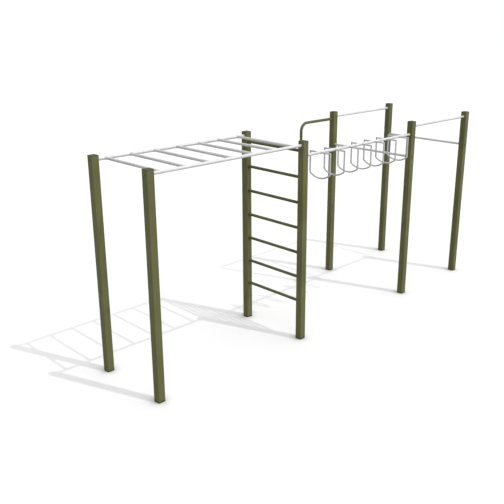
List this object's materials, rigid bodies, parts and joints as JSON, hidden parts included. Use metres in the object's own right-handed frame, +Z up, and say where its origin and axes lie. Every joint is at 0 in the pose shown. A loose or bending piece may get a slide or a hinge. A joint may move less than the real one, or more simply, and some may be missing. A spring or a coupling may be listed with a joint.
{
  "type": "monkey bars",
  "caption": "Outdoor monkey bars joined to a wall-bar ladder, a loop ladder, pull-up bars and a climbing pole, on square posts.",
  "frame": {"origin": "on the ground, at the middle of the box round the whole set", "axes": "+X along the set, from the monkey bars to the pull-up bars; +Y to the side of the climbing pole; +Z up"},
  "size_m": [6.05, 1.6526, 2.582],
  "materials": {
    "painted": "olive green powder coat, satin, fine orange peel",
    "plastic": "dark olive moulded plastic, matt",
    "galvanised": "light grey galvanised steel, satin",
    "zinc": "zinc-plated steel, satin"
  },
  "bodies": {
    "root": {"post_start_left": "painted", "post_start_right": "painted", "post_ladder_left": "painted", "post_ladder_right": "painted", "post_pull_up_left": "painted", "post_pull_up_right": "painted", "post_end_left": "painted", "post_end_right": "painted", "cap_start_left": "plastic", "cap_start_right": "plastic", "cap_ladder_left": "plastic", "cap_ladder_right": "plastic", "cap_pull_up_left": "plastic", "cap_pull_up_right": "plastic", "cap_end_left": "plastic", "cap_end_right": "plastic", "foot_start_left": "zinc", "foot_start_right": "zinc", "foot_ladder_left": "zinc", "foot_ladder_right": "zinc", "foot_pull_up_left": "zinc", "foot_pull_up_right": "zinc", "foot_end_left": "zinc", "foot_end_right": "zinc", "monkey_rail_left": "galvanised", "monkey_rail_right": "galvanised", "monkey_rung_1": "galvanised", "monkey_rung_2": "galvanised", "monkey_rung_3": "galvanised", "monkey_rung_4": "galvanised", "monkey_rung_5": "galvanised", "monkey_rung_6": "galvanised", "monkey_rung_7": "galvanised", "wall_bar_1": "painted", "wall_bar_2": "painted", "wall_bar_3": "painted", "wall_bar_4": "painted", "wall_bar_5": "painted", "wall_bar_6": "painted", "wall_bar_7": "painted", "loop_beam": "galvanised", "loop_1": "galvanised", "loop_2": "galvanised", "loop_3": "galvanised", "loop_4": "galvanised", "loop_5": "galvanised", "loop_6": "galvanised", "loop_7": "galvanised", "high_bar_left": "galvanised", "high_bar_right": "galvanised", "low_bar_start": "galvanised", "low_bar_end": "galvanised", "climbing_pole": "painted", "pole_foot_plug": "zinc", "rail_end_plugs": "zinc", "bar_end_plugs": "zinc", "through_bolts": "zinc", "spacer_sleeves": "zinc", "bolt_covers": "plastic"}
  },
  "joints": []
}
